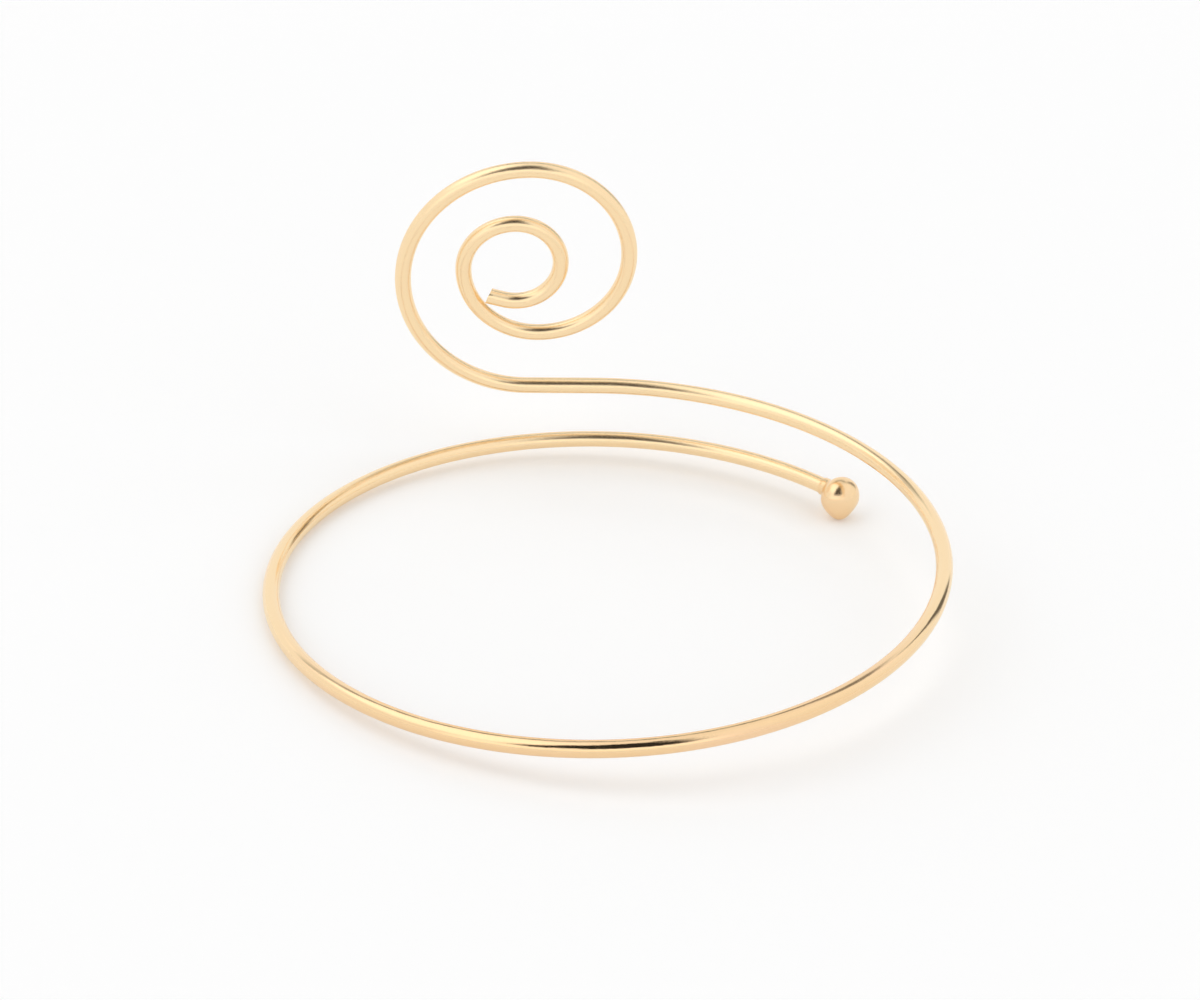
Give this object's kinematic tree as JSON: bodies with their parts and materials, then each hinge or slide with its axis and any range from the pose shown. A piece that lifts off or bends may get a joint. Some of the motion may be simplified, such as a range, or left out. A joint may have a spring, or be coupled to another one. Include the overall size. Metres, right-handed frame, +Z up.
{
  "type": "open spiral upper arm cuff",
  "caption": "Upper arm cuff of round polished wire: an open ring that climbs a little more than once round the arm, an upright flat scroll at one end and a small ball on the other.",
  "frame": {"origin": "on the floor under the middle of the cuff's box, as the cuff lies on its side", "axes": "+Z up from the floor, about 4 degrees from the ring's own axis; -Y towards the front, opposite the scroll; +X to the right, the ball's side"},
  "size_m": [0.0816, 0.0822, 0.0427],
  "materials": {
    "gold_wire": "brass, plated in pale champagne gold and polished, with fine lengthwise drawing lines",
    "gold_ball": "brass, plated in pale champagne gold and polished"
  },
  "bodies": {
    "root": {"arm_wire": "gold_wire", "ball_tip": "gold_ball"}
  },
  "joints": []
}
